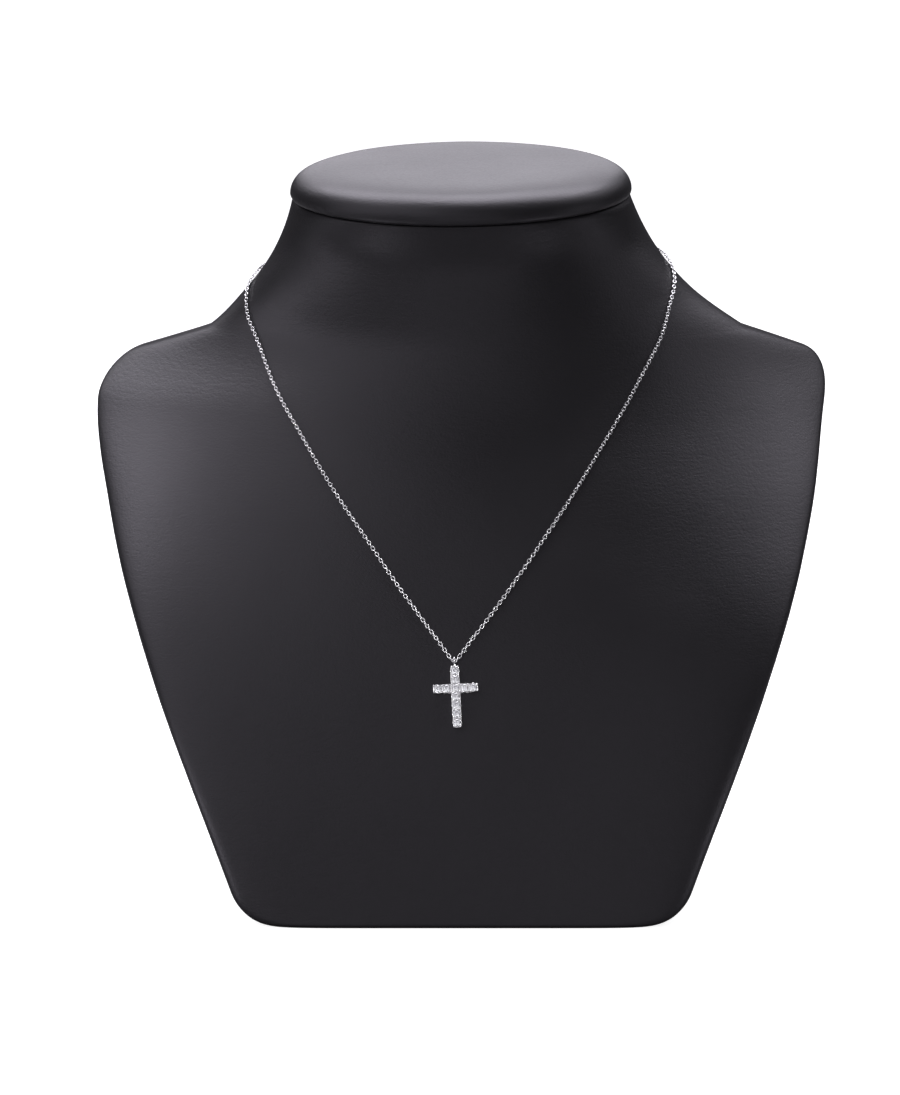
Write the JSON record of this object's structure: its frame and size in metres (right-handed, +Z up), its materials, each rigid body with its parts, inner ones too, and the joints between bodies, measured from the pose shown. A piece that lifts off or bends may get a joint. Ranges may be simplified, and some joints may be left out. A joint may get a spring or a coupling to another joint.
{
  "type": "cross pendant necklace on a neck bust",
  "caption": "Cross pendant of round stones in shared prongs on a fine cable chain with a spring ring, worn by a padded leather neck bust.",
  "frame": {"origin": "on the ground, under the middle of the bust's box", "axes": "+X to the right as seen from the front, +Y to the back, +Z up; the front of the bust faces -Y"},
  "size_m": [0.2002, 0.1441, 0.1925],
  "materials": {
    "leather": "fine grained black leatherette, satin",
    "white_gold": "polished white gold",
    "diamond": "clear, brilliant cut"
  },
  "bodies": {
    "display": {"bust": "leather", "neck_cap": "leather", "chain": "white_gold", "clasp": "white_gold"},
    "cross": {"cross_setting": "white_gold", "stone_01": "diamond", "stone_02": "diamond", "stone_03": "diamond", "stone_04": "diamond", "stone_05": "diamond", "stone_06": "diamond", "stone_07": "diamond", "stone_08": "diamond", "stone_09": "diamond", "stone_10": "diamond", "stone_11": "diamond"}
  },
  "joints": [
    {"name": "cross_swing", "type": "hinge", "parent": "display", "child": "cross", "pos_m": [-0.00188, -0.04978, 0.06705], "axis": [-0.9989, -0.0181, -0.0435], "range_deg": [0, 75]}
  ]
}
